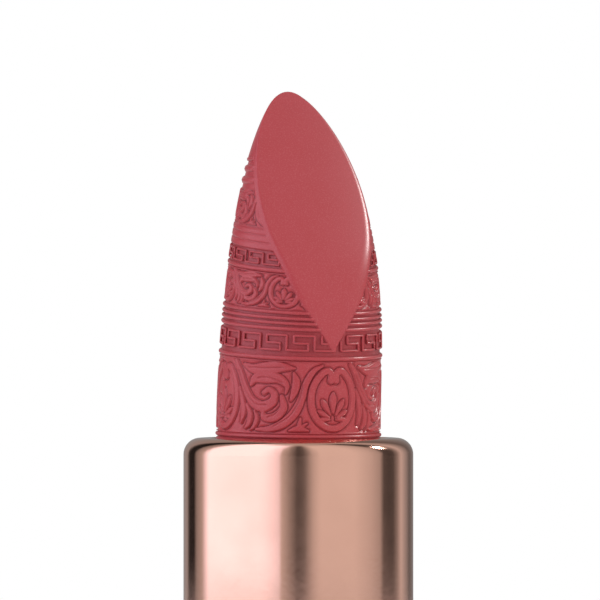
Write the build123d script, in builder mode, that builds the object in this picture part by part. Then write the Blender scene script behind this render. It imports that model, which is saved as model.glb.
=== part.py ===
from build123d import *
import os
from math import atan2, cos, radians, sin, tan

# Twist-up lipstick case. Millimetres, +Z up the case, z = 0 at the underside of the base.
# Drawn with the bullet fully raised and the cap standing on its mouth beside the case.

# Wax bullet, measured up from the sleeve's mouth
wax_radius = 6.04
taper_height = 26.24  # where the taper would close to a point
taper_power = 2.72  # how late the taper starts
taper_fullness = 0.66  # how blunt the top is
lean_offset = 0.76  # the axis bends this far towards the slanted face
lean_height = 12.3  # over this height
lean_return = 0.0089  # and bends back by this much per square millimetre above it
face_azimuth = -68.2  # compass direction that the slanted face looks in, degrees from +X
face_start = 6.72  # height where the slanted face leaves the round side
face_arc = 13.7  # radius of its first, curved stretch
face_slope = 30.2  # angle from vertical of its straight stretch, degrees
wax_in_cup = 8.0  # length of the wax root held by the cup
tip_blunt = 0.25  # how much of the thin top edge is rubbed off

# Walls, from the wax outwards
cup_wall = 0.625
guide_wall = 0.48
spiral_wall = 0.65
sleeve_wall = 0.45
liner_wall = 1.365
shell_wall = 0.5

# Clearances, each on the radius or across one gap
wax_clearance = 0.02
cup_clearance = 0.07
turn_clearance = 0.07
press_clearance = 0.02
cap_clearance = 0.06
seat_gap = 0.15  # end gap between a turning piece and a fixed one
pin_clearance = 0.1

# Heights
base_height = 26.0
sleeve_rise = 33.5  # sleeve seen above the base
mouth_gap = 0.42  # open ring between the wax and the sleeve's rim
cup_height = 8.9
cup_below_mouth = 0.8
shell_floor = 0.6
label_recess = 0.25
label_thickness = 0.15
label_radius = 7.6
weight_height = 5.0
liner_floor = 1.2
socket_height = 8.0  # pressed foot of the guide tube
guide_below_mouth = 1.7
guide_lip = 0.8  # snap lip that keeps the spiral on the guide tube

# Lift: one pin on each side of the cup runs in a straight slot and a helical groove
pin_radius = 0.9
pin_above_cup_floor = 2.0
groove_depth = 0.45
groove_pitch = 17.6
groove_turns = 1.5
skirt_step = 0.18  # the sleeve is turned down where it runs inside the base

# Closure: a magnet ring in the base holds a steel ring in the cap
closure_ring_wall = 0.88
magnet_height = 2.0
steel_height = 2.0
collar_height = 0.8
collar_inset = 0.35
collar_spigot = 0.8
brake_ring_height = 0.8
brake_ring_depth = 0.2
brake_ring_rise = 2.0  # above the pressed foot

# Cap
cap_headroom = 1.5  # over the sleeve when the cap is on
cap_liner_top = 1.2
cap_liner_lift = 0.3  # the liner stops short of the shell's edge
cap_weight_height = 3.0
cap_top_thickness = 1.0
plate_recess = 0.45
plate_thickness = 0.4
plate_margin = 1.6
cap_x = 38.0
cap_y = 14.0

# Edges
rim_round = 1.2
edge_round = 0.9
lip_round = 0.25
fine_chamfer = 0.15

# Radii that follow
cup_bore = wax_radius + wax_clearance
cup_radius = cup_bore + cup_wall
guide_bore = cup_radius + cup_clearance
guide_radius = guide_bore + guide_wall
spiral_bore = guide_radius + turn_clearance
spiral_radius = spiral_bore + spiral_wall
sleeve_bore = spiral_radius + press_clearance
sleeve_radius = sleeve_bore + sleeve_wall
mouth_radius = wax_radius + mouth_gap
skirt_radius = sleeve_radius - skirt_step
liner_bore = skirt_radius + turn_clearance
liner_radius = liner_bore + liner_wall
shell_bore = liner_radius + press_clearance
shell_radius = shell_bore + shell_wall
cap_bore = sleeve_radius + cap_clearance
closure_ring_bore = liner_radius - closure_ring_wall
socket_radius = liner_bore - press_clearance

# Heights that follow
mouth_z = base_height + sleeve_rise
cup_top = mouth_z - cup_below_mouth
cup_bottom = cup_top - cup_height
pin_z = cup_bottom + pin_above_cup_floor
bullet_travel = groove_pitch * groove_turns
pin_z_low = pin_z - bullet_travel
wax_bottom = mouth_z - cup_below_mouth - wax_in_cup
liner_bottom = shell_floor + weight_height
guide_bottom = liner_bottom + liner_floor
socket_top = guide_bottom + socket_height
guide_top = mouth_z - guide_below_mouth
spiral_top = guide_top - guide_lip - seat_gap
turning_bottom = socket_top + seat_gap
skirt_top = base_height + seat_gap
collar_bottom = base_height - collar_height
magnet_top = collar_bottom - collar_spigot
magnet_bottom = magnet_top - magnet_height
brake_z = socket_top + brake_ring_rise
cap_depth = sleeve_rise + cap_headroom
cap_weight_z = cap_depth + cap_liner_top
cap_top_z = cap_weight_z + cap_weight_height
cap_height = cap_top_z + cap_top_thickness
cap_plane = Plane(origin=(cap_x, cap_y, 0))

os.makedirs("parts", exist_ok=True)


# Bullet shape
def taper_radius(h):
    """Radius of the wax at height h above the mouth."""
    return wax_radius * (1 - (max(h, 0) / taper_height) ** taper_power) ** taper_fullness


def lean(h):
    """How far the centre of the section has moved towards the slanted face at height h."""
    s = min(max(h / lean_height, 0), 1)
    return lean_offset * s * s * (3 - 2 * s) - lean_return * max(h - lean_height, 0) ** 2


def wax_side(h):
    return lean(h) + taper_radius(h)


# The slanted face starts tangent to the side, curves back on an arc and ends straight.
slope_step = 0.05
start_lean = atan2(wax_side(face_start) - wax_side(face_start + slope_step), slope_step)
arc_centre_n = wax_side(face_start) - face_arc * cos(start_lean)
arc_centre_h = face_start - face_arc * sin(start_lean)
end_lean = radians(face_slope)
mid_lean = (start_lean + end_lean) / 2


def face_point(angle):
    return (arc_centre_n + face_arc * cos(angle), mouth_z + arc_centre_h + face_arc * sin(angle))


face_run = taper_height - arc_centre_h
line_end = (
    face_point(end_lean)[0] - face_run * tan(end_lean),
    face_point(end_lean)[1] + face_run,
)
far_out = 3 * wax_radius
face_plane = Plane(
    origin=(0, 0, 0),
    x_dir=(cos(radians(face_azimuth)), sin(radians(face_azimuth)), 0),
    z_dir=(sin(radians(face_azimuth)), -cos(radians(face_azimuth)), 0),
)
section_count = 26
section_top = 0.985 * taper_height
section_heights = [section_top * sin(radians(90 * i / section_count)) for i in range(section_count + 1)]

with BuildPart() as lipstick_bullet:
    with BuildSketch(Plane.XY.offset(wax_bottom)):
        Circle(wax_radius)
    extrude(amount=mouth_z - wax_bottom)
    for h in section_heights:
        shift = lean(h)
        centre = (shift * cos(radians(face_azimuth)), shift * sin(radians(face_azimuth)), mouth_z + h)
        with BuildSketch(Plane(origin=centre)):
            Circle(taper_radius(h))
    loft(ruled=True)
    with BuildSketch(face_plane):
        with BuildLine():
            ThreePointArc(face_point(start_lean), face_point(mid_lean), face_point(end_lean))
            Line(face_point(end_lean), line_end)
            Polyline(
                line_end,
                (far_out, line_end[1]),
                (far_out, face_point(start_lean)[1]),
                face_point(start_lean),
            )
        make_face()
    extrude(amount=far_out, both=True, mode=Mode.SUBTRACT)
    tip_z = lipstick_bullet.part.bounding_box().max.Z
    split(bisect_by=Plane.XY.offset(tip_z - tip_blunt), keep=Keep.BOTTOM)
lipstick_bullet.part.label = "lipstick_bullet"
export_step(lipstick_bullet.part, "parts/lipstick_bullet.step")

with BuildPart() as carrier_cup:
    with BuildSketch(Plane.XY.offset(cup_bottom)):
        Circle(cup_radius)
    extrude(amount=cup_height)
    chamfer(carrier_cup.edges().group_by(Axis.Z)[0], fine_chamfer)
    with BuildSketch(Plane.XY.offset(wax_bottom)):
        Circle(cup_bore)
    extrude(amount=cup_height, mode=Mode.SUBTRACT)
    with BuildSketch(Plane.YZ.offset(cup_bore)):
        with Locations((0, pin_z)):
            Circle(pin_radius)
    extrude(amount=spiral_bore + groove_depth - pin_clearance - cup_bore)
    mirror(about=Plane.YZ)
carrier_cup.part.label = "carrier_cup"
export_step(carrier_cup.part, "parts/carrier_cup.step")

# The guide tube is fixed to the base: its slots stop the cup from turning.
with BuildPart() as guide_tube:
    with BuildSketch(Plane.XY.offset(guide_bottom)):
        Circle(socket_radius)
    extrude(amount=socket_height)
    with BuildSketch(Plane.XY.offset(guide_bottom)):
        Circle(guide_radius)
    extrude(amount=guide_top - guide_bottom)
    with BuildSketch(Plane.XY.offset(guide_top - guide_lip)):
        Circle(guide_radius + spiral_wall / 2)
    extrude(amount=guide_lip)
    with BuildSketch(Plane.XY.offset(guide_bottom)):
        Circle(guide_bore)
    extrude(amount=guide_top - guide_bottom, mode=Mode.SUBTRACT)
    with BuildSketch(Plane.YZ):
        with Locations((0, (pin_z + pin_z_low) / 2)):
            SlotCenterToCenter(bullet_travel, 2 * (pin_radius + pin_clearance), rotation=90)
    extrude(amount=spiral_bore, both=True, mode=Mode.SUBTRACT)
    with BuildSketch(Plane.XY.offset(brake_z)):
        Circle(guide_radius)
        Circle(guide_radius - brake_ring_depth, mode=Mode.SUBTRACT)
    extrude(amount=brake_ring_height, mode=Mode.SUBTRACT)
guide_tube.part.label = "guide_tube"
export_step(guide_tube.part, "parts/guide_tube.step")

with BuildPart() as brake_ring:
    with BuildSketch(Plane.XY.offset(brake_z + press_clearance)):
        Circle(spiral_bore - press_clearance)
        Circle(guide_radius - brake_ring_depth + press_clearance, mode=Mode.SUBTRACT)
    extrude(amount=brake_ring_height - 2 * press_clearance)
brake_ring.part.label = "brake_ring"
export_step(brake_ring.part, "parts/brake_ring.step")

# The spiral turns with the sleeve: its two grooves lift the cup's pins.
groove_width = 2 * (pin_radius + pin_clearance)
groove_floor = spiral_bore + groove_depth
tool_inner = spiral_bore - groove_depth / 2
tool_radius = (tool_inner + groove_floor) / 2
with BuildPart() as groove_tool:
    with BuildLine() as groove_path:
        Helix(pitch=groove_pitch, height=bullet_travel, radius=tool_radius, center=(0, 0, pin_z_low))
    with BuildSketch(Plane(origin=groove_path.line @ 0, x_dir=(1, 0, 0), z_dir=groove_path.line % 0)):
        Rectangle(groove_floor - tool_inner, groove_width)
    sweep(path=groove_path.line, is_frenet=True)

with BuildPart() as spiral_tube:
    with BuildSketch(Plane.XY.offset(turning_bottom)):
        Circle(spiral_radius)
        Circle(spiral_bore, mode=Mode.SUBTRACT)
    extrude(amount=spiral_top - turning_bottom)
    for turn in (0, 180):
        add(groove_tool.part.rotate(Axis.Z, turn), mode=Mode.SUBTRACT)
    for end_z in (pin_z_low, pin_z):
        with BuildSketch(Plane.YZ):
            with Locations((0, end_z)):
                Circle(groove_width / 2)
        extrude(amount=groove_floor, both=True, mode=Mode.SUBTRACT)
spiral_tube.part.label = "spiral_tube"
export_step(spiral_tube.part, "parts/spiral_tube.step")

with BuildPart() as sleeve_shell:
    with BuildSketch(Plane.XY.offset(turning_bottom)):
        Circle(sleeve_radius)
    extrude(amount=mouth_z - turning_bottom)
    fillet(sleeve_shell.edges().group_by(Axis.Z)[-1], rim_round)
    with BuildSketch(Plane.XY.offset(turning_bottom)):
        Circle(sleeve_bore)
    extrude(amount=mouth_z - sleeve_wall - turning_bottom, mode=Mode.SUBTRACT)
    fillet(
        sleeve_shell.edges().filter_by(GeomType.CIRCLE).filter_by(
            lambda e: abs(e.center().Z - (mouth_z - sleeve_wall)) < 0.01
        ),
        rim_round - sleeve_wall,
    )
    with BuildSketch(Plane.XY.offset(mouth_z)):
        Circle(mouth_radius)
    extrude(amount=-2 * sleeve_wall, mode=Mode.SUBTRACT)
    fillet(sleeve_shell.edges().group_by(Axis.Z)[-1], sleeve_wall / 3)
    with BuildSketch(Plane.XY.offset(turning_bottom)):
        Circle(2 * sleeve_radius)
        Circle(skirt_radius, mode=Mode.SUBTRACT)
    extrude(amount=skirt_top - turning_bottom, mode=Mode.SUBTRACT)
sleeve_shell.part.label = "sleeve_shell"
export_step(sleeve_shell.part, "parts/sleeve_shell.step")

with BuildPart() as base_shell:
    with BuildSketch(Plane.XY):
        Circle(shell_radius)
    extrude(amount=collar_bottom)
    fillet(base_shell.edges().group_by(Axis.Z)[0], edge_round)
    fillet(base_shell.edges().group_by(Axis.Z)[-1], lip_round)
    with BuildSketch(Plane.XY.offset(shell_floor)):
        Circle(shell_bore)
    extrude(amount=collar_bottom, mode=Mode.SUBTRACT)
    with BuildSketch(Plane.XY):
        Circle(label_radius)
    extrude(amount=label_recess, mode=Mode.SUBTRACT)
base_shell.part.label = "base_shell"
export_step(base_shell.part, "parts/base_shell.step")

with BuildPart() as base_label_disc:
    with BuildSketch(Plane.XY.offset(label_recess - label_thickness)):
        Circle(label_radius - pin_clearance)
    extrude(amount=label_thickness)
base_label_disc.part.label = "base_label_disc"
export_step(base_label_disc.part, "parts/base_label_disc.step")

with BuildPart() as base_weight:
    with BuildSketch(Plane.XY.offset(shell_floor)):
        Circle(liner_radius)
    extrude(amount=weight_height)
    chamfer(base_weight.edges().group_by(Axis.Z)[-1], fine_chamfer)
base_weight.part.label = "base_weight"
export_step(base_weight.part, "parts/base_weight.step")

with BuildPart() as base_liner:
    with BuildSketch(Plane.XY.offset(liner_bottom)):
        Circle(liner_radius)
    extrude(amount=collar_bottom - liner_bottom)
    with BuildSketch(Plane.XY.offset(guide_bottom)):
        Circle(liner_bore)
    extrude(amount=collar_bottom - guide_bottom, mode=Mode.SUBTRACT)
    with BuildSketch(Plane.XY.offset(magnet_bottom)):
        Circle(shell_radius)
        Circle(closure_ring_bore - press_clearance, mode=Mode.SUBTRACT)
    extrude(amount=collar_bottom - magnet_bottom, mode=Mode.SUBTRACT)
base_liner.part.label = "base_liner"
export_step(base_liner.part, "parts/base_liner.step")

with BuildPart() as base_magnet_ring:
    with BuildSketch(Plane.XY.offset(magnet_bottom)):
        Circle(liner_radius)
        Circle(closure_ring_bore, mode=Mode.SUBTRACT)
    extrude(amount=magnet_height)
base_magnet_ring.part.label = "base_magnet_ring"
export_step(base_magnet_ring.part, "parts/base_magnet_ring.step")

with BuildPart() as shoulder_collar:
    with BuildSketch(Plane.XY.offset(collar_bottom)):
        Circle(shell_radius - collar_inset)
        Circle(liner_bore, mode=Mode.SUBTRACT)
    extrude(amount=collar_height)
    fillet(shoulder_collar.edges().group_by(Axis.Z)[-1].sort_by(SortBy.LENGTH)[-1], lip_round)
    with BuildSketch(Plane.XY.offset(magnet_top)):
        Circle(liner_radius)
        Circle(closure_ring_bore, mode=Mode.SUBTRACT)
    extrude(amount=collar_spigot)
shoulder_collar.part.label = "shoulder_collar"
export_step(shoulder_collar.part, "parts/shoulder_collar.step")

with BuildPart() as cap_shell:
    with BuildSketch(cap_plane):
        Circle(shell_radius)
    extrude(amount=cap_height)
    fillet(cap_shell.edges().group_by(Axis.Z)[-1], edge_round)
    fillet(cap_shell.edges().group_by(Axis.Z)[0], lip_round)
    with BuildSketch(cap_plane):
        Circle(shell_bore)
    extrude(amount=cap_top_z, mode=Mode.SUBTRACT)
    with BuildSketch(cap_plane.offset(cap_height)):
        Circle(shell_radius - plate_margin)
    extrude(amount=-plate_recess, mode=Mode.SUBTRACT)
cap_shell.part.label = "cap_shell"
export_step(cap_shell.part, "parts/cap_shell.step")

with BuildPart() as cap_top_plate:
    with BuildSketch(cap_plane.offset(cap_height - plate_recess)):
        Circle(shell_radius - plate_margin - press_clearance)
    extrude(amount=plate_thickness)
    chamfer(cap_top_plate.edges().group_by(Axis.Z)[-1], fine_chamfer)
cap_top_plate.part.label = "cap_top_plate"
export_step(cap_top_plate.part, "parts/cap_top_plate.step")

with BuildPart() as cap_liner:
    with BuildSketch(cap_plane.offset(cap_liner_lift)):
        Circle(liner_radius)
    extrude(amount=cap_weight_z - cap_liner_lift)
    with BuildSketch(cap_plane):
        Circle(cap_bore)
    extrude(amount=cap_depth, mode=Mode.SUBTRACT)
    with BuildSketch(cap_plane.offset(cap_liner_lift)):
        Circle(shell_radius)
        Circle(closure_ring_bore - press_clearance, mode=Mode.SUBTRACT)
    extrude(amount=steel_height, mode=Mode.SUBTRACT)
cap_liner.part.label = "cap_liner"
export_step(cap_liner.part, "parts/cap_liner.step")

with BuildPart() as cap_steel_ring:
    with BuildSketch(cap_plane.offset(cap_liner_lift)):
        Circle(liner_radius)
        Circle(closure_ring_bore, mode=Mode.SUBTRACT)
    extrude(amount=steel_height)
cap_steel_ring.part.label = "cap_steel_ring"
export_step(cap_steel_ring.part, "parts/cap_steel_ring.step")

with BuildPart() as cap_weight:
    with BuildSketch(cap_plane.offset(cap_weight_z)):
        Circle(liner_radius)
    extrude(amount=cap_weight_height)
    chamfer(cap_weight.edges().group_by(Axis.Z)[-1], fine_chamfer)
cap_weight.part.label = "cap_weight"
export_step(cap_weight.part, "parts/cap_weight.step")
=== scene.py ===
from math import atan2, cos, pi, radians, sin, tan

import bpy
import numpy as np
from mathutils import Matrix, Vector


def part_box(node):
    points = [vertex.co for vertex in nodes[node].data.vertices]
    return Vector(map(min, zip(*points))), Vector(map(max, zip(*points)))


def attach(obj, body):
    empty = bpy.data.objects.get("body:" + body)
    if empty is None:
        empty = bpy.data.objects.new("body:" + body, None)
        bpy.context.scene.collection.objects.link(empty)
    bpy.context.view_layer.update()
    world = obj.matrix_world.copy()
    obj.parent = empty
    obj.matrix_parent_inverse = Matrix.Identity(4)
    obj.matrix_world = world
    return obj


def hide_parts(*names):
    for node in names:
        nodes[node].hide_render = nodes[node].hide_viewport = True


print("loading the case")
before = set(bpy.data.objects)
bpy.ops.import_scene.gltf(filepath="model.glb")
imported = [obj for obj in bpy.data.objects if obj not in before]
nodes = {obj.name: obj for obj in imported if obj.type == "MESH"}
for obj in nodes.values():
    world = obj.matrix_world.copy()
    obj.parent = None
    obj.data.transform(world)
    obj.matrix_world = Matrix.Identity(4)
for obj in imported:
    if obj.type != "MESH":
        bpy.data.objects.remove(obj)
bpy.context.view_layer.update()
mm = 0.001  # sizes below are in millimetres, meshes in metres
noiseSpan = (0.3, 0.7)  # most of a noise texture's values lie in this range


def hexColor(text):
    parts = [int(text[i : i + 2], 16) / 255 for i in (1, 3, 5)]
    return [p / 12.92 if p <= 0.04045 else ((p + 0.055) / 1.055) ** 2.4 for p in parts] + [1.0]


def addNode(tree, kind, inputs=None, **settings):
    node = tree.nodes.new(kind)
    for name, value in settings.items():
        setattr(node, name, value)
    for socket, value in (inputs or {}).items():
        if isinstance(value, bpy.types.NodeSocket):
            tree.links.new(value, node.inputs[socket])
        else:
            node.inputs[socket].default_value = value
    return node


def startMaterial(name):
    material = bpy.data.materials.new(name)
    material.use_nodes = True
    material.node_tree.nodes.clear()
    return material, material.node_tree


def closeMaterial(tree, shaderInputs):
    shader = addNode(tree, "ShaderNodeBsdfPrincipled", shaderInputs)
    addNode(tree, "ShaderNodeOutputMaterial", {"Surface": shader.outputs["BSDF"]})


def blendColors(tree, factor, first, second):
    # on a Mix node set to colour, the factor is input 0 and the two colours are 6 and 7
    return addNode(tree, "ShaderNodeMix", {0: factor, 6: first, 7: second}, data_type="RGBA").outputs[2]


def mapRange(tree, value, fromLow, fromHigh, toLow, toHigh):
    inputs = {"Value": value, "From Min": fromLow, "From Max": fromHigh, "To Min": toLow, "To Max": toHigh}
    return addNode(tree, "ShaderNodeMapRange", inputs).outputs["Result"]


def noise(tree, place, size, detail):
    # clouds about this many millimetres across
    inputs = {"Vector": place, "Scale": 1 / (size * mm), "Detail": detail}
    return addNode(tree, "ShaderNodeTexNoise", inputs).outputs["Fac"]


def bumpFrom(tree, height, depth):
    inputs = {"Height": height, "Distance": depth * mm}
    return addNode(tree, "ShaderNodeBump", inputs).outputs["Normal"]


def addObject(name, data):
    thing = bpy.data.objects.new(name, data)
    bpy.context.scene.collection.objects.link(thing)
    return thing


def smoothStep(low, high, x):
    t = np.clip((x - low) / (high - low), 0, 1)
    return t * t * (3 - 2 * t)


print("materials")


# Lipstick wax, moulded with mica pearl in it: a satin surface with fine bright grains,
# and painted shade: the cut hollows are painted a deeper red than the raised parts, where shade falls.
def pearlWax():
    look = {
        "raised": "#ba474d",
        "raisedWarm": "#b64145",
        # painted shade: the deep red painted into the cuts in place of the shade that falls there
        "paintedGrooveShade": "#6e121c",
        "paintedShadeStart": 0.15,  # share of the deepest cut at which the painted shade begins
        "paintedShadePower": 10.0,  # keeps the painted shade to the narrow cuts, off the flat sunk strips
        "pearl": "#dc8d8e",
        "cloudSize": 3.0,
        "grainSize": 0.09,  # mica is finer than this, drawn as coarse as it needs to show
        "grainSpan": (0.52, 0.78),
        "grainShare": 0.26,
        "roughness": (0.39, 0.27),  # between the grains and on them
        "grainBump": 0.004,
        "ior": 1.45,
        "specular": 0.4,
        "sheen": 0.18,
        "sheenRoughness": 0.4,
    }
    material, tree = startMaterial("moulded_pearl_wax")
    place = addNode(tree, "ShaderNodeTexCoord").outputs["Object"]
    carve = addNode(tree, "ShaderNodeAttribute", attribute_name="carve").outputs["Fac"]
    clouds = noise(tree, place, look["cloudSize"], 3.0)
    grains = noise(tree, place, look["grainSize"], 2.0)
    raised = blendColors(tree, clouds, hexColor(look["raised"]), hexColor(look["raisedWarm"]))
    sparkle = mapRange(tree, grains, *look["grainSpan"], 0.0, look["grainShare"])
    pearled = blendColors(tree, sparkle, raised, hexColor(look["pearl"]))
    # painted shade: the deeper the cut, the more the colour turns to the painted groove shade
    sunk = mapRange(tree, carve, look["paintedShadeStart"], 1.0, 0.0, 1.0)
    shade = addNode(tree, "ShaderNodeMath", {0: sunk, 1: look["paintedShadePower"]}, operation="POWER").outputs[0]
    closeMaterial(
        tree,
        {
            "Base Color": blendColors(tree, shade, pearled, hexColor(look["paintedGrooveShade"])),
            "Roughness": mapRange(tree, grains, *noiseSpan, *look["roughness"]),
            "IOR": look["ior"],
            "Specular IOR Level": look["specular"],
            "Sheen Weight": look["sheen"],
            "Sheen Roughness": look["sheenRoughness"],
            "Sheen Tint": hexColor(look["pearl"]),
            "Normal": bumpFrom(tree, grains, look["grainBump"]),
        },
    )
    return material


# Aluminium, drawn thin, polished and anodised in a rose-gold dye: mirror reflections,
# warmed by the dye, with a faint softness where the polish varies.
def roseGoldAnodised():
    look = {
        "dye": "#efbca7",
        "dyeDeep": "#e8b29c",
        "roughness": (0.055, 0.115),
        "cloudSize": 6.0,
        "polishSize": 0.5,
        "polishBump": 0.0006,
    }
    material, tree = startMaterial("polished_anodised_aluminium")
    place = addNode(tree, "ShaderNodeTexCoord").outputs["Object"]
    clouds = noise(tree, place, look["cloudSize"], 4.0)
    polish = noise(tree, place, look["polishSize"], 2.0)
    closeMaterial(
        tree,
        {
            "Base Color": blendColors(tree, clouds, hexColor(look["dye"]), hexColor(look["dyeDeep"])),
            "Metallic": 1.0,
            "Roughness": mapRange(tree, clouds, *noiseSpan, *look["roughness"]),
            "Normal": bumpFrom(tree, polish, look["polishBump"]),
        },
    )
    return material


# The plainer stuffs share one recipe: two close colours clouded together, and a fine
# surface grain that also varies the roughness.
def cloudedMaterial(name, look):
    material, tree = startMaterial(name)
    place = addNode(tree, "ShaderNodeTexCoord").outputs["Object"]
    clouds = noise(tree, place, look["cloudSize"], 4.0)
    grain = noise(tree, place, look["grainSize"], 2.0)
    inputs = {
        "Base Color": blendColors(tree, clouds, *map(hexColor, look["colors"])),
        "Roughness": mapRange(tree, grain, *noiseSpan, *look["roughness"]),
        "Metallic": look.get("metallic", 0.0),
        "Normal": bumpFrom(tree, grain, look["bump"]),
    }
    if "ior" in look:  # a metal keeps the default
        inputs["IOR"] = look["ior"]
    closeMaterial(tree, inputs)
    return material


plainLooks = {
    # ABS moulded in a spark-eroded tool: satin black with a very fine grain
    "black_plastic": (
        "moulded_black_abs",
        {"colors": ("#1c1a1b", "#252223"), "roughness": (0.32, 0.46), "ior": 1.53},
        {"cloudSize": 4.0, "grainSize": 0.12, "bump": 0.004},
    ),
    # acetal moulded in a polished tool: milky white, slippery and slightly glossy
    "white_plastic": (
        "moulded_white_acetal",
        {"colors": ("#eae8e2", "#e2dfd8"), "roughness": (0.22, 0.34), "ior": 1.48},
        {"cloudSize": 5.0, "grainSize": 0.2, "bump": 0.002},
    ),
    # mild steel, turned or stamped and zinc plated: a cool grey with a slight blur
    "steel": (
        "zinc_plated_steel",
        {"colors": ("#b9bcc0", "#a5a9ae"), "roughness": (0.24, 0.4), "metallic": 1.0},
        {"cloudSize": 2.0, "grainSize": 0.25, "bump": 0.003},
    ),
    # sintered neodymium, nickel plated: darker and a little warmer than the steel
    "magnet": (
        "nickel_plated_magnet",
        {"colors": ("#a8a39b", "#918c86"), "roughness": (0.18, 0.3), "metallic": 1.0},
        {"cloudSize": 1.5, "grainSize": 0.2, "bump": 0.002},
    ),
    # silicone rubber, compression moulded: milky grey, matt, slightly greasy
    "silicone": (
        "moulded_silicone",
        {"colors": ("#c9c6c0", "#bcb8b1"), "roughness": (0.45, 0.6), "ior": 1.41},
        {"cloudSize": 1.5, "grainSize": 0.1, "bump": 0.003},
    ),
    # polypropylene film with a matt lacquer, left blank
    "label_film": (
        "matt_label_film",
        {"colors": ("#e9dcd3", "#e2d3c8"), "roughness": (0.5, 0.62), "ior": 1.49},
        {"cloudSize": 3.0, "grainSize": 0.15, "bump": 0.002},
    ),
}
finishes = {"wax": pearlWax(), "rose_gold_metal": roseGoldAnodised()}
for slotName, (materialName, surface, grain) in plainLooks.items():
    finishes[slotName] = cloudedMaterial(materialName, {**surface, **grain})
for node in nodes.values():
    for socket in node.material_slots:
        socket.material = finishes[socket.material.name.split(".")[0]]


print("wax shape")
# h is the height above the sleeve's mouth. n points from the axis towards the slanted
# face and t lies across it. s is the height at which an ornament band runs.
wax = {
    "radius": 6.04,
    "height": 26.24,  # where the round taper would close
    "power": 2.72,
    "fullness": 0.66,
    "leanOffset": 0.76,
    "leanHeight": 12.3,
    "leanReturn": 0.0089,
    "faceTurn": -66.5,
    "faceStart": 6.38,
    "faceArc": 13.7,
    "faceSlope": 29.55,
    "faceCrown": 28.0,  # radius of the face's slight crown across its width
    "creaseRound": (0.12, 0.30),  # on the left of the face and on its right
    "creaseTurn": (-0.6, 0.6),  # shares of the radius between which the one becomes the other
    "creaseGrow": 4,  # height over which the rounding grows in from the face's foot
    "bandLean": 0.0253,  # the bands sit lower on the face's side
    "bandTilt": 0.0078,  # and lower still with height
    "bandLeanStart": (-4.0, -0.5),
    "bandFade": (15, 21),  # and lie level again at the tip
    "margin": (0.04, 0.40),  # plain strip beside the face's edge, at its foot and higher up
    "marginHeights": (7.0, 12.0),
    "marginFade": 0.10,
}
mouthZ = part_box("sleeve_shell")[1].z / mm
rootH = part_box("lipstick_bullet")[0].z / mm - mouthZ
settlePasses = 4  # a tilted band's height depends on its place, so the two are found in turn


def taper(h):
    return wax["radius"] * (1 - np.clip(h / wax["height"], 0, 0.9999) ** wax["power"]) ** wax["fullness"]


def lean(h):
    past = np.clip(h - wax["leanHeight"], 0, None)
    return wax["leanOffset"] * smoothStep(0, wax["leanHeight"], h) - wax["leanReturn"] * past**2


def bandTilt(s):
    atFoot = wax["bandLean"] * smoothStep(*wax["bandLeanStart"], s)
    steeper = wax["bandTilt"] * np.clip(s, 0, wax["bandFade"][0])
    return (atFoot + steeper) * (1 - smoothStep(*wax["bandFade"], s))


def sideOut(h):
    return float(lean(h) + taper(h))


# the face leaves the side along its tangent, curls back on an arc and runs on straight
startLean = atan2(sideOut(wax["faceStart"]) - sideOut(wax["faceStart"] + 0.05), 0.05)
endLean = radians(wax["faceSlope"])
arcOut = sideOut(wax["faceStart"]) - wax["faceArc"] * cos(startLean)
arcUp = wax["faceStart"] - wax["faceArc"] * sin(startLean)
arcEndUp = arcUp + wax["faceArc"] * sin(endLean)


def faceOut(h):
    turn = np.arcsin(np.clip((h - arcUp) / wax["faceArc"], -1, sin(endLean)))
    out = arcOut + wax["faceArc"] * np.cos(turn) - np.clip(h - arcEndUp, 0, None) * tan(endLean)
    gap = out - lean(h)
    crown = np.maximum(taper(h) ** 2 - gap**2, 0) / (2 * wax["faceCrown"])
    return np.where(h < wax["faceStart"], 1000.0, out + crown)


def findTip():
    low, high = 20.0, wax["height"] - 0.01
    for _ in range(50):
        middle = (low + high) / 2
        hasWax = float(faceOut(middle)) > float(lean(middle) - taper(middle))
        low, high = (middle, high) if hasWax else (low, middle)
    return low


tipH = findTip()


def cutSurface(turn, s):
    # the wax with its face cut: returns n, t, h and whether the point is on the face
    h, t = s + 0 * turn, 0 * turn + 0 * s
    for _ in range(settlePasses):
        r, c, f = taper(h), lean(h), faceOut(h)
        front = np.minimum(f, c + r)
        middle = (front + c - r) / 2
        half = np.maximum((front - c + r) / 2, 1e-5)
        side = np.where(f < c, np.sqrt(np.maximum(r**2 - (f - c) ** 2, 1e-10)), r)
        dn, dt = half * np.cos(turn), side * np.sin(turn)
        a = dn**2 + dt**2
        b = 2 * (middle - c) * dn
        roundReach = (-b + np.sqrt(np.maximum(b**2 - 4 * a * ((middle - c) ** 2 - r**2), 0))) / (2 * a)
        depth = np.maximum(f - middle, 1e-6)
        faceReach = 2 * depth / (dn + np.sqrt(dn**2 + 2 * dt**2 / wax["faceCrown"] * depth) + 1e-9)
        length = np.sqrt(a)
        first, second = roundReach * length, faceReach * length
        leftRound, rightRound = wax["creaseRound"]
        soft = leftRound + (rightRound - leftRound) * smoothStep(*wax["creaseTurn"], t / (r + 0.1))
        soft = soft * smoothStep(0, wax["creaseGrow"], h - wax["faceStart"]) + 1e-4
        soft = np.minimum(soft, 1.2 * half)
        share = np.clip(0.5 + 0.5 * (second - first) / soft, 0, 1)
        reach = (second + (first - second) * share - soft * share * (1 - share)) / length
        n, t = middle + reach * dn, reach * dt
        h = s - bandTilt(s) * (n - c)
    return n, t, h, second < first


def roundSurface(azimuth, s, rise=0.0):
    # the same wax before its face is cut, for the ribs that lie on it
    h = s + 0 * azimuth
    for _ in range(settlePasses):
        out = taper(h) * np.cos(azimuth)
        h = s - bandTilt(s) * out
    r = taper(h) + rise
    return lean(h) + r * np.cos(azimuth), r * np.sin(azimuth), h


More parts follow.
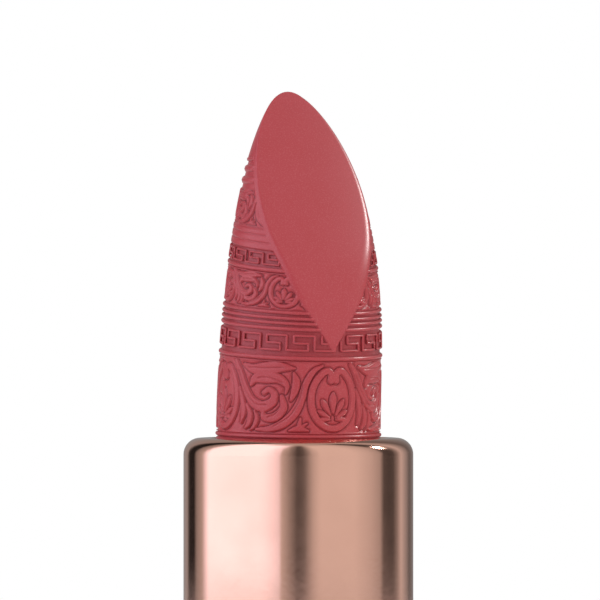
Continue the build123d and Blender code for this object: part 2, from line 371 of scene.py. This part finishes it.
def inSpace(n, t, h):
    a = radians(wax["faceTurn"])
    x = n * cos(a) - t * sin(a)
    y = n * sin(a) + t * cos(a)
    return np.stack([x, y, mouthZ + h], axis=-1) * mm


# the edge between face and side, as azimuth and band height
edgeH = np.linspace(wax["faceStart"] + 1e-3, tipH, 260)
edgeGap = faceOut(edgeH) - lean(edgeH)
edgeB = 1 - edgeGap / wax["faceCrown"]
edgeC = edgeGap**2 - taper(edgeH) ** 2
edgeT2 = np.maximum(-2 * edgeC / (edgeB + np.sqrt(edgeB**2 - edgeC / wax["faceCrown"] ** 2)), 0)
edgeN = edgeGap - edgeT2 / (2 * wax["faceCrown"])
edgeAzimuth = np.arctan2(np.sqrt(edgeT2), edgeN)
edgeS = edgeH + bandTilt(edgeH) * edgeN


def edgeDistance(azimuth, s):
    azimuth, s = np.broadcast_arrays(azimuth, s)
    flatAzimuth = np.abs(azimuth).ravel()
    flatS = s.ravel()
    best = np.full(flatS.shape, 1e9)
    radius = taper(flatS)
    for a, height in zip(edgeAzimuth, edgeS):
        best = np.minimum(best, ((flatAzimuth - a) * radius) ** 2 + (flatS - height) ** 2)
    return np.sqrt(best).reshape(s.shape)


def plainShare(azimuth, s, onFace, reach=0.0):
    # 0 on the face and its plain margin, 1 where the ornament is at its full depth
    foot, above = wax["margin"]
    start = foot + (above - foot) * smoothStep(*wax["marginHeights"], s) - reach
    return np.clip((edgeDistance(azimuth, s) - start) / wax["marginFade"], 0, 1) * ~onFace


print("ornament")
# One cell of the leaf frieze, 9.49 wide and 5.4 high: a ring with a palmette in it at
# x = 0, and a leaf scroll up to the next ring. A stroke is a row of x, y, half width.
leafCell = {
    "pitch": 9.49,
    "height": 5.4,
    "step": 0.025,
    "ringCentre": 2.62,
    "ringHalf": (1.70, 2.25),
    "ringWidth": 0.22,
    "fullness": 1.35,  # leaves swell to this much more than their strokes
    "strokes": [
        [(1.45, 5.25, 0.10), (2.0, 4.4, 0.16), (2.55, 3.3, 0.20), (3.2, 2.35, 0.24), (4.1, 1.95, 0.27),
         (4.9, 2.35, 0.22), (5.0, 2.95, 0.17), (4.6, 3.25, 0.13), (4.2, 3.0, 0.12)],
        [(2.3, 5.0, 0.06), (3.2, 4.72, 0.22), (4.3, 4.82, 0.32), (5.3, 4.95, 0.27), (6.5, 4.9, 0.03)],
        [(3.05, 3.55, 0.08), (3.45, 4.05, 0.22), (4.3, 4.1, 0.27), (5.3, 4.1, 0.23), (5.95, 3.6, 0.12),
         (5.9, 3.0, 0.03)],
        [(6.45, 4.55, 0.04), (6.65, 3.9, 0.18), (6.55, 3.2, 0.17), (6.3, 2.5, 0.05)],
        [(3.6, 0.25, 0.05), (4.6, 0.28, 0.14), (5.7, 0.7, 0.22), (6.6, 1.6, 0.22), (7.1, 2.7, 0.18),
         (7.35, 3.7, 0.15), (7.9, 4.7, 0.12), (8.6, 5.15, 0.04)],
        [(5.6, 2.75, 0.10), (5.75, 1.9, 0.18), (5.1, 1.2, 0.22), (4.3, 1.15, 0.17), (4.15, 1.5, 0.10)],
        [(2.0, 3.3, 0.05), (2.3, 2.4, 0.15), (2.45, 1.5, 0.15), (2.2, 0.7, 0.05)],
        [(2.75, 2.1, 0.05), (3.05, 1.4, 0.15), (2.95, 0.7, 0.14), (2.6, 0.3, 0.04)],
        [(3.45, 1.65, 0.04), (3.65, 1.1, 0.12), (3.45, 0.5, 0.10), (3.1, 0.2, 0.03)],
        [(6.2, 0.2, 0.03), (6.9, 0.35, 0.14), (7.6, 0.2, 0.03)],
        [(6.9, 0.3, 0.12), (7.02, 1.15, 0.03)],
        [(6.9, 0.35, 0.10), (7.5, 0.75, 0.03)],
    ],
    "ringHook": [(1.15, 4.27), (0.78, 4.66), (0.42, 4.74), (0.19, 4.45), (0.21, 4.0)],
    # turn from upright, length, half width
    "petals": [(0, 2.05, 0.25), (30, 1.75, 0.19), (60, 1.35, 0.16), (88, 1.05, 0.13)],
    "petalRoot": 1.05,
    # shares of a petal's length and of its half width there
    "petalShape": [(0.25, 0.3), (0.5, 0.75), (0.75, 1.0), (0.92, 0.55), (1.0, 0.12)],
    "veins": [
        [(1.9, 4.5), (2.6, 3.1), (3.5, 2.15), (4.4, 2.1)],
        [(2.9, 4.85), (4.2, 4.85), (5.6, 4.95)],
        [(3.7, 4.1), (4.6, 4.15), (5.6, 3.8)],
        [(5.0, 0.5), (6.2, 1.3), (6.9, 2.5), (7.15, 3.6)],
        [(5.5, 2.2), (5.2, 1.5), (4.6, 1.2)],
    ],
    "veinWidth": 0.03,
}
# distance out from a leaf's outline, and how deep the wax is cut there
leafCut = {
    "distance": (-0.06, 0.0, 0.045, 0.115, 0.23),
    "depth": (0.0, 0.015, 0.165, 0.16, 0.075),
    "veinDepth": 0.09,
    "veinEdge": (-0.01, 0.05),
    "veinInset": -0.03,  # a vein is only cut this far inside its leaf
}


def smoothPath(points, perSpan=14):
    # a curve through the points, with as many columns as they have
    p = np.array(points, float)
    ends = np.vstack([2 * p[0] - p[1], p, 2 * p[-1] - p[-2]])
    u = np.linspace(0, 1, perSpan, endpoint=False)[:, None]
    spans = []
    for a, b, c, d in zip(ends, ends[1:], ends[2:], ends[3:]):
        squared = (2 * a - 5 * b + 4 * c - d) * u**2
        spans.append(0.5 * (2 * b + (c - a) * u + squared + (3 * b - a - 3 * c + d) * u**3))
    return np.vstack(spans + [p[-1:]])


def cellStrokes():
    strokes = [smoothPath(s) * (1, 1, leafCell["fullness"]) for s in leafCell["strokes"]]
    halfX, halfY = leafCell["ringHalf"]
    width, centre = leafCell["ringWidth"], leafCell["ringCentre"]
    around = np.radians(np.arange(-90, 48, 4))
    side = [(halfX * cos(a), centre + halfY * sin(a), width) for a in around]
    side += [(x, y, width) for x, y in leafCell["ringHook"]]
    for mirror in (1, -1):
        strokes.append(smoothPath([(mirror * x, y, w) for x, y, w in side], 6))
        for turn, length, half in leafCell["petals"]:
            a = radians(turn) * mirror
            root, shape = leafCell["petalRoot"], leafCell["petalShape"]
            petal = [(length * k * sin(a), root + length * k * cos(a), half * w) for k, w in shape]
            strokes.append(smoothPath(petal))
    return strokes


def cellDistance(strokes, far=0.9):
    step = leafCell["step"]
    columns = int(round(leafCell["pitch"] / step))
    rows = int(round(leafCell["height"] / step)) + 1
    y = (np.arange(rows) * step)[:, None]
    field = np.full((rows, columns), far)
    for stroke in strokes:
        first = int((stroke[:, 0].min() - far) / step)
        last = int((stroke[:, 0].max() + far) / step)
        span = np.arange(first, last + 1)
        x = (span * step)[None, :]
        near = np.full((rows, len(span)), far)
        for px, py, width in stroke:
            near = np.minimum(near, np.hypot(x - px, y - py) - width)
        wrapped = span % columns
        field[:, wrapped] = np.minimum(field[:, wrapped], near)
    return field


leafField = cellDistance(cellStrokes())
veins = [[(x, y, leafCell["veinWidth"]) for x, y in vein] for vein in leafCell["veins"]]
veinField = cellDistance([smoothPath(vein) for vein in veins])


def readField(field, x, y):
    # bilinear, wrapping round in x
    rows, columns = field.shape
    u = (x / leafCell["step"]) % columns
    v = np.clip(y / leafCell["step"], 0, rows - 1.001)
    i, j = np.floor(u).astype(int) % columns, np.floor(v).astype(int)
    du, dv = u - np.floor(u), v - j
    k = (i + 1) % columns
    top = field[j + 1, i] * (1 - du) + field[j + 1, k] * du
    return (field[j, i] * (1 - du) + field[j, k] * du) * (1 - dv) + top * dv


bands = {
    # low, high, cells round the wax, azimuth of one palmette in degrees
    "friezes": [(0.56, 5.98, 4, 1.3), (9.92, 12.47, 6, -37.2), (15.74, 18.2, 5, -53.7)],
    # low, high, depth of the sunk strips under rings and meanders
    "sunk": [(0.03, 0.56, 0.14), (5.98, 9.92, 0.15), (12.47, 14.18, 0.15), (18.2, 20.55, 0.12)],
    # height, width, depth of the cut lines between flat ridges
    "lines": [(14.64, 0.13, 0.11), (15.17, 0.13, 0.11), (15.62, 0.16, 0.13)],
    "lineEdge": (0.2, 0.65),  # shares of a line's width between which its floor rises
    # height and half width of each round ring
    "rings": [
        (0.30, 0.15), (6.24, 0.16), (8.435, 0.14), (8.857, 0.12), (9.223, 0.12), (9.645, 0.13),
        (12.725, 0.15), (18.83, 0.36), (19.70, 0.33), (20.42, 0.18),
    ],
    "softEdge": 0.05,
}


def cutDepth(azimuth, s):
    azimuth, s = np.broadcast_arrays(azimuth, s)
    depth = np.zeros(s.shape)
    soft = bands["softEdge"]
    for low, high, deep in bands["sunk"]:
        inStrip = smoothStep(low, low + soft, s) - smoothStep(high - soft, high, s)
        depth = np.maximum(depth, deep * inStrip)
    floorEdge, topEdge = bands["lineEdge"]
    for height, width, deep in bands["lines"]:
        outOfLine = smoothStep(floorEdge * width, topEdge * width, np.abs(s - height))
        depth = np.maximum(depth, deep * (1 - outOfLine))
    for low, high, count, start in bands["friezes"]:
        inside = (s >= low) & (s <= high)
        scaleY = (high - low) / leafCell["height"]
        pitch = 2 * pi * float(taper((low + high) / 2)) / count
        scale = min(scaleY, pitch / leafCell["pitch"])
        x = (azimuth - radians(start)) * count / (2 * pi) * leafCell["pitch"]
        y = (s - low) / scaleY
        out = readField(leafField, x, y) * scale
        leaf = np.interp(out, leafCut["distance"], leafCut["depth"])
        vein = readField(veinField, x, y) * scale
        inLeaf = out < leafCut["veinInset"]
        veinCut = leafCut["veinDepth"] * (1 - smoothStep(*leafCut["veinEdge"], vein)) * inLeaf
        depth = np.where(inside, np.maximum(leaf, veinCut), depth)
    return depth


print("wax drums")


def waxPiece(name, mesh):
    piece = addObject(name, mesh)
    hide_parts("lipstick_bullet")
    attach(piece, "carrier")


# the wax is three drums end to end, which keeps each mesh to a fair size
drums = {
    "seams": (6.24, 12.725),  # each hidden under a ring
    "rowStep": 0.05,
    "topRowStep": 0.066,
    "columns": (720, 640, 640),
    "coarser": 1,
    "fineTop": 20.6,  # the ornament ends here
    "tipRows": 34,
    "tipCrowding": 1.5,  # rows crowd together towards the tip
    # the plain root down in the sleeve needs few rows
    "rootFoot": 0.15,  # above its foot
    "rootShares": (0.7, 0.4),  # of its depth
    "rootTop": (-0.8, -0.3, -0.1),  # below the sleeve's mouth
}


def drum(name, heights, columns, closeTop):
    turn = np.linspace(0, 2 * pi, columns, endpoint=False)[None, :]
    s = np.array(heights)[:, None]
    n, t, h, onFace = cutSurface(turn, s)
    centre = lean(h)
    azimuth = np.arctan2(t, n - centre)
    depth = cutDepth(azimuth, s) * plainShare(azimuth, s, onFace)
    n = n - depth * np.cos(azimuth)
    t = t - depth * np.sin(azimuth)
    rows = len(heights)
    points = inSpace(n, t, h).reshape(-1, 3)
    lowCentre = points[:columns].mean(axis=0)
    if closeTop:
        highCentre = inSpace(np.array(faceOut(tipH)), np.array(0.0), np.array(tipH))
    else:
        highCentre = points[-columns:].mean(axis=0)
    points = np.vstack([points, lowCentre[None], highCentre[None]])
    low, high = rows * columns, rows * columns + 1
    i, j = np.meshgrid(np.arange(rows - 1), np.arange(columns), indexing="ij")
    k = (j + 1) % columns
    below, above = i * columns, (i + 1) * columns
    quads = np.stack([below + j, below + k, above + k, above + j], axis=-1)
    faces = quads.reshape(-1, 4).tolist()
    last = (rows - 1) * columns
    around = range(columns)
    faces += [(low, (a + 1) % columns, a) for a in around]
    faces += [(high, last + a, last + (a + 1) % columns) for a in around]
    mesh = bpy.data.meshes.new(name)
    mesh.from_pydata(points, [], faces)
    mesh.update()
    smooth = np.ones(len(faces), bool)
    smooth[len(faces) - 2 * columns : len(faces) - columns] = False
    if not closeTop:
        smooth[len(faces) - columns :] = False
    mesh.polygons.foreach_set("use_smooth", smooth)
    # the rim of each flat end is sharp, so the skin's own normals run up to it
    ends = np.empty(len(mesh.edges) * 2, int)
    mesh.edges.foreach_get("vertices", ends)
    rowOfEnd = ends.reshape(-1, 2) // columns
    inOneRow = rowOfEnd[:, 0] == rowOfEnd[:, 1]
    rims = [0] if closeTop else [0, rows - 1]
    mesh.edges.foreach_set("use_edge_sharp", inOneRow & np.isin(rowOfEnd[:, 0], rims))
    carve = mesh.attributes.new("carve", "FLOAT", "POINT")
    values = np.append(depth.ravel() / max(leafCut["depth"]), [0.0, 0.0])
    carve.data.foreach_set("value", values.astype(np.float32))
    mesh.materials.append(finishes["wax"])
    waxPiece(name, mesh)
    print(name, len(faces) * 2, "triangles or fewer")


def rowsBetween(low, high, step):
    return np.linspace(low, high, int(round((high - low) / (step * drums["coarser"]))) + 1)


lowSeam, highSeam = drums["seams"]
lowColumns, middleColumns, topColumns = (count // drums["coarser"] for count in drums["columns"])
rootRows = [rootH, rootH + drums["rootFoot"]]
rootRows += [rootH * share for share in drums["rootShares"]] + list(drums["rootTop"])
lowRows = np.append(rootRows, rowsBetween(0, lowSeam, drums["rowStep"]))
tipShare = np.linspace(1, 0, drums["tipRows"], endpoint=False) ** drums["tipCrowding"]
tipRows = tipH - (tipH - drums["fineTop"]) * tipShare
topRows = np.append(rowsBetween(highSeam, drums["fineTop"], drums["topRowStep"]), tipRows[1:])
drum("bullet_lower", lowRows, lowColumns, False)
drum("bullet_middle", rowsBetween(lowSeam, highSeam, drums["rowStep"]), middleColumns, False)
drum("bullet_top", topRows, topColumns, True)


print("ribs")


def ribTree():
    # a round rib along every line of the input mesh
    tree = bpy.data.node_groups.new("ribAlongPath", "GeometryNodeTree")
    sockets = tree.interface
    sockets.new_socket("Path", in_out="INPUT", socket_type="NodeSocketGeometry")
    sockets.new_socket("Half Width", in_out="INPUT", socket_type="NodeSocketFloat")
    sockets.new_socket("Corner Radius", in_out="INPUT", socket_type="NodeSocketFloat")
    sockets.new_socket("Sides", in_out="INPUT", socket_type="NodeSocketInt")
    sockets.new_socket("Wax", in_out="INPUT", socket_type="NodeSocketMaterial")
    sockets.new_socket("Rib", in_out="OUTPUT", socket_type="NodeSocketGeometry")
    given = addNode(tree, "NodeGroupInput").outputs
    line = addNode(tree, "GeometryNodeMeshToCurve", {"Mesh": given["Path"]})
    corner = addNode(
        tree,
        "GeometryNodeFilletCurve",
        {"Curve": line.outputs["Curve"], "Radius": given["Corner Radius"], "Limit Radius": True, "Count": 2},
        mode="POLY",
    )
    profile = addNode(
        tree,
        "GeometryNodeCurvePrimitiveCircle",
        {"Radius": given["Half Width"], "Resolution": given["Sides"]},
    )
    rib = addNode(
        tree,
        "GeometryNodeCurveToMesh",
        {"Curve": corner.outputs["Curve"], "Profile Curve": profile.outputs["Curve"], "Fill Caps": True},
    )
    smoothInputs = {"Geometry": rib.outputs["Mesh"], "Shade Smooth": True}
    smooth = addNode(tree, "GeometryNodeSetShadeSmooth", smoothInputs)
    real = addNode(tree, "GeometryNodeRealizeInstances", {"Geometry": smooth.outputs[0]})
    waxed = addNode(
        tree, "GeometryNodeSetMaterial", {"Geometry": real.outputs["Geometry"], "Material": given["Wax"]}
    )
    addNode(tree, "NodeGroupOutput", {"Rib": waxed.outputs["Geometry"]})
    return tree


ribNodes = ribTree()


def ribPiece(name, paths, halfWidth, cornerRadius, sides):
    # paths: points in metres, and whether the line closes on itself
    points, edges = [], []
    for line, closed in paths:
        base = len(points)
        points += list(line)
        count = len(line)
        edges += [(base + k, base + k + 1) for k in range(count - 1)]
        if closed:
            edges.append((base + count - 1, base))
    guide = bpy.data.meshes.new(name + "_guide")
    guide.from_pydata(points, edges, [])
    holder = addObject(name + "_guide", guide)
    modifier = holder.modifiers.new("ribs", "NODES")
    modifier.node_group = ribNodes
    values = {
        "Half Width": halfWidth * mm,
        "Corner Radius": cornerRadius * mm,
        "Sides": sides,
        "Wax": finishes["wax"],
    }
    for item in ribNodes.interface.items_tree:
        if item.in_out == "INPUT" and item.name in values:
            modifier[item.identifier] = values[item.name]
    holder.update_tag()
    bpy.context.view_layer.update()
    ready = holder.evaluated_get(bpy.context.evaluated_depsgraph_get())
    mesh = bpy.data.meshes.new_from_object(ready)
    mesh.name = name
    holder.modifiers.remove(modifier)
    bpy.data.objects.remove(holder)
    waxPiece(name, mesh)
    print(name, len(mesh.polygons), "faces")


ribs = {
    "proud": 0.05,  # how far a rib's top stands above the wax surface
    "reach": 0.06,  # how far it runs on into the face's plain margin
    "sink": 0.13,  # how far it dives there
    "fadedOut": 0.05,  # it ends where the ornament's share falls to this
    "ringSides": 10,
    "ringPoints": 480,
}


def onWax(azimuth, s, rise):
    # lines laid on the wax, cut where the face has taken the wax away
    n, t, h = roundSurface(azimuth, s)
    onFace = n >= faceOut(h) - t**2 / (2 * wax["faceCrown"])
    mask = plainShare(azimuth, s, onFace, ribs["reach"])
    n, t, h = roundSurface(azimuth, s, rise - ribs["sink"] * (1 - mask))
    return inSpace(n, t, h), mask


def cutLine(azimuth, s, rise, closed):
    points, mask = onWax(np.array(azimuth), np.array(s), rise)
    keep = mask > ribs["fadedOut"]
    if keep.all():
        return [(points, closed)]
    if closed:  # start the row just after a gap
        start = int(np.argmin(keep))
        points, keep = np.roll(points, -start, axis=0), np.roll(keep, -start)
    pieces, run = [], []
    for index in range(len(points) + 1):
        if index < len(points) and keep[index]:
            run.append(index)
            continue
        if len(run) > 1:
            pieces.append((points[run], False))
        run = []
    return pieces


for index, (height, halfWidth) in enumerate(bands["rings"]):
    azimuth = np.linspace(-pi, pi, ribs["ringPoints"], endpoint=False)
    paths = cutLine(azimuth, np.full(azimuth.shape, height), ribs["proud"] - halfWidth, True)
    ribPiece(f"wax_ring_{index + 1}", paths, halfWidth, 0.0, ribs["ringSides"])

# a Greek key is one line that folds back in each cell, as shares of the cell's pitch and height
meanders = {
    "proud": 0.035,
    "cornerRadius": 0.05,
    "sides": 8,
    "points": (4, 3),  # along a level stretch and an upright one
    "fold": [(0, 0), (0.77, 0), (0.77, 0.48), (0.26, 0.48), (0.26, 1), (1, 1)],
    "large": {"low": 6.85, "high": 7.96, "keys": 18, "halfWidth": 0.088, "start": 6.3},
    "small": {"low": 13.12, "high": 13.90, "keys": 20, "halfWidth": 0.068, "start": -1.7},
}


def meanderPiece(name, size):
    azimuth, s = [], []
    for key in range(size["keys"]):
        corners = [(key + x, y) for x, y in meanders["fold"]] + [(key + 1, 0)]
        for (x0, y0), (x1, y1) in zip(corners, corners[1:]):
            count = meanders["points"][0 if y0 == y1 else 1]
            for step in range(count):
                share = step / count
                x = x0 + (x1 - x0) * share
                y = y0 + (y1 - y0) * share
                azimuth.append(radians(size["start"]) + 2 * pi * x / size["keys"])
                s.append(size["low"] + (size["high"] - size["low"]) * y)
    wrapped = (np.array(azimuth) + pi) % (2 * pi) - pi
    paths = cutLine(wrapped, np.array(s), meanders["proud"] - size["halfWidth"], True)
    ribPiece(name, paths, size["halfWidth"], meanders["cornerRadius"], meanders["sides"])


meanderPiece("large_meander", meanders["large"])
meanderPiece("small_meander", meanders["small"])


print("studio")
studio = {
    "floorRadius": 1.2,
    "floorSides": 96,
    "backdrop": 1.0,
    # brightness of the room round the case, by compass angle from the camera's side
    # (degrees, positive to the camera's right), at the height of the case
    "roomBands": [
        (-180, 0.30), (-150, 0.34), (-143, 0.06), (-139, 0.02), (-129, 0.02), (-124, 0.28),
        (-113, 0.50), (-106, 1.3), (-102, 1.8), (-41, 1.8), (-34, 1.68), (-25.5, 1.42),
        (-18.8, 1.14), (-17.4, 0.66), (-9.4, 0.34), (-1.4, 0.085), (1, 0.085), (6, 0.14),
        (15, 0.60), (22, 0.80), (58, 0.80), (78, 0.62), (90, 0.44), (95, 0.10), (104, 0.07),
        (111, 0.09), (118, 0.28), (126, 0.62), (134, 0.42), (148, 0.14), (180, 0.30),
    ],
    "rampTop": 2.5,
    "coolTint": (0.95, 0.98, 1.16),  # the big softbox is a little cooler than the rest
    # the sine of the angle above the horizon where the bands fade out: the cloths' soft
    # light ends lower than their reflection in the metal
    "bandTop": (0.64, 0.80),
    "mirrorTop": (0.93, 1.0),
    "bandFoot": (-0.15, -0.45),
    "overhead": 0.5,
    "underfoot": 0.4,
}


def buildRoom():
    world = bpy.data.worlds.new("studio")
    bpy.context.scene.world = world
    world.use_nodes = True
    tree = world.node_tree
    tree.nodes.clear()
    direction = addNode(tree, "ShaderNodeTexCoord").outputs["Generated"]
    parts = addNode(tree, "ShaderNodeSeparateXYZ", {"Vector": direction}).outputs
    towards = addNode(tree, "ShaderNodeMath", {0: parts["Y"], 1: -1.0}, operation="MULTIPLY").outputs[0]
    angle = addNode(tree, "ShaderNodeMath", {0: parts["X"], 1: towards}, operation="ARCTAN2").outputs[0]
    share = mapRange(tree, angle, -pi, pi, 0.0, 1.0)
    ramp = addNode(tree, "ShaderNodeValToRGB", {"Fac": share})
    stops = ramp.color_ramp.elements
    while len(stops) < len(studio["roomBands"]):
        stops.new(0.5)
    for stop, (degree, value) in zip(stops, studio["roomBands"]):
        stop.position = (degree + 180) / 360
        level = value / studio["rampTop"]  # a ramp's colours stop at 1
        cool = studio["coolTint"] if value > 1 else (1, 1, 1)
        stop.color = [level * part for part in cool] + [1.0]
    scaled = {"Vector": ramp.outputs["Color"], "Scale": studio["rampTop"]}
    level = addNode(tree, "ShaderNodeVectorMath", scaled, operation="SCALE").outputs["Vector"]
    rays = addNode(tree, "ShaderNodeLightPath").outputs
    softAbove = mapRange(tree, parts["Z"], *studio["bandTop"], 0.0, 1.0)
    mirrorAbove = mapRange(tree, parts["Z"], *studio["mirrorTop"], 0.0, 1.0)
    above = mapRange(tree, rays["Is Glossy Ray"], 0.0, 1.0, softAbove, mirrorAbove)
    below = mapRange(tree, parts["Z"], *studio["bandFoot"], 0.0, 1.0)
    room = blendColors(tree, above, level, [studio["overhead"]] * 3 + [1.0])
    room = blendColors(tree, below, room, [studio["underfoot"]] * 3 + [1.0])
    color = blendColors(tree, rays["Is Camera Ray"], room, [studio["backdrop"]] * 3 + [1.0])
    surface = addNode(tree, "ShaderNodeBackground", {"Color": color, "Strength": 1.0})
    addNode(tree, "ShaderNodeOutputWorld", {"Surface": surface.outputs["Background"]})


buildRoom()

lamps = {
    # place, aimed-at point and size in metres
    # a fill gives soft light only, a strip gives highlights only
    "frontFill": {
        "place": (-0.38, -0.48, 0.40), "aim": (0.0, 0.0, 0.07), "size": (0.30, 0.25),
        "watts": 0.14, "color": "#fff8f4", "soft": True, "gloss": False,
    },
    "rightFill": {
        "place": (0.42, -0.16, 0.16), "aim": (0.0, 0.0, 0.07), "size": (0.20, 0.20),
        "watts": 0.60, "color": "#fffaf8", "soft": True, "gloss": False,
    },
    "edgeStrip": {
        "place": (0.369, 0.092, 0.33), "aim": (0.0, 0.0, 0.075), "size": (0.02, 0.10),
        "watts": 1.9, "color": "#fffaf8", "soft": False, "gloss": True,
    },
}
for name, look in lamps.items():
    lamp = bpy.data.lights.new(name, "AREA")
    lamp.shape = "RECTANGLE"
    lamp.size, lamp.size_y = look["size"]
    lamp.energy = look["watts"]
    lamp.color = hexColor(look["color"])[:3]
    holder = addObject(name, lamp)
    holder.location = look["place"]
    turned = (Vector(look["aim"]) - Vector(look["place"])).to_track_quat("-Z", "Y")
    holder.rotation_euler = turned.to_euler()
    holder.visible_diffuse = look["soft"]
    holder.visible_glossy = look["gloss"]


# painted board, rolled matt
floorLook = {
    "colors": ("#f4f3f2", "#f0efee"),
    "roughness": (0.7, 0.8),
    "cloudSize": 60.0,
    "grainSize": 1.0,
    "bump": 0.01,
}


def layFloor():
    count, r = studio["floorSides"], studio["floorRadius"]
    turns = [2 * pi * k / count for k in range(count)]
    mesh = bpy.data.meshes.new("floor")
    mesh.from_pydata([(r * cos(a), r * sin(a), 0.0) for a in turns], [], [list(range(count))])
    floor = addObject("floor", mesh)
    mesh.materials.append(cloudedMaterial("matt_painted_board", floorLook))


layFloor()

# lens and sensor in millimetres, the rest in metres
view = {
    "lens": 491.0,
    "sensor": 36.0,
    "distance": 0.600,
    "aimX": 0.00012,
    "aimAboveMouth": 0.0101,
    "eyeAboveMouth": 0.0100,
    "clipStart": 0.01,
}
camera = addObject("camera", bpy.data.cameras.new("camera"))
camera.data.lens = view["lens"]
camera.data.sensor_width = view["sensor"]
camera.data.clip_start = view["clipStart"]
camera.location = (view["aimX"], -view["distance"], mouthZ * mm + view["eyeAboveMouth"])
aim = Vector((view["aimX"], 0.0, mouthZ * mm + view["aimAboveMouth"]))
camera.rotation_euler = (aim - camera.location).to_track_quat("-Z", "Y").to_euler()
bpy.context.scene.camera = camera
bpy.context.scene.view_settings.view_transform = "Standard"
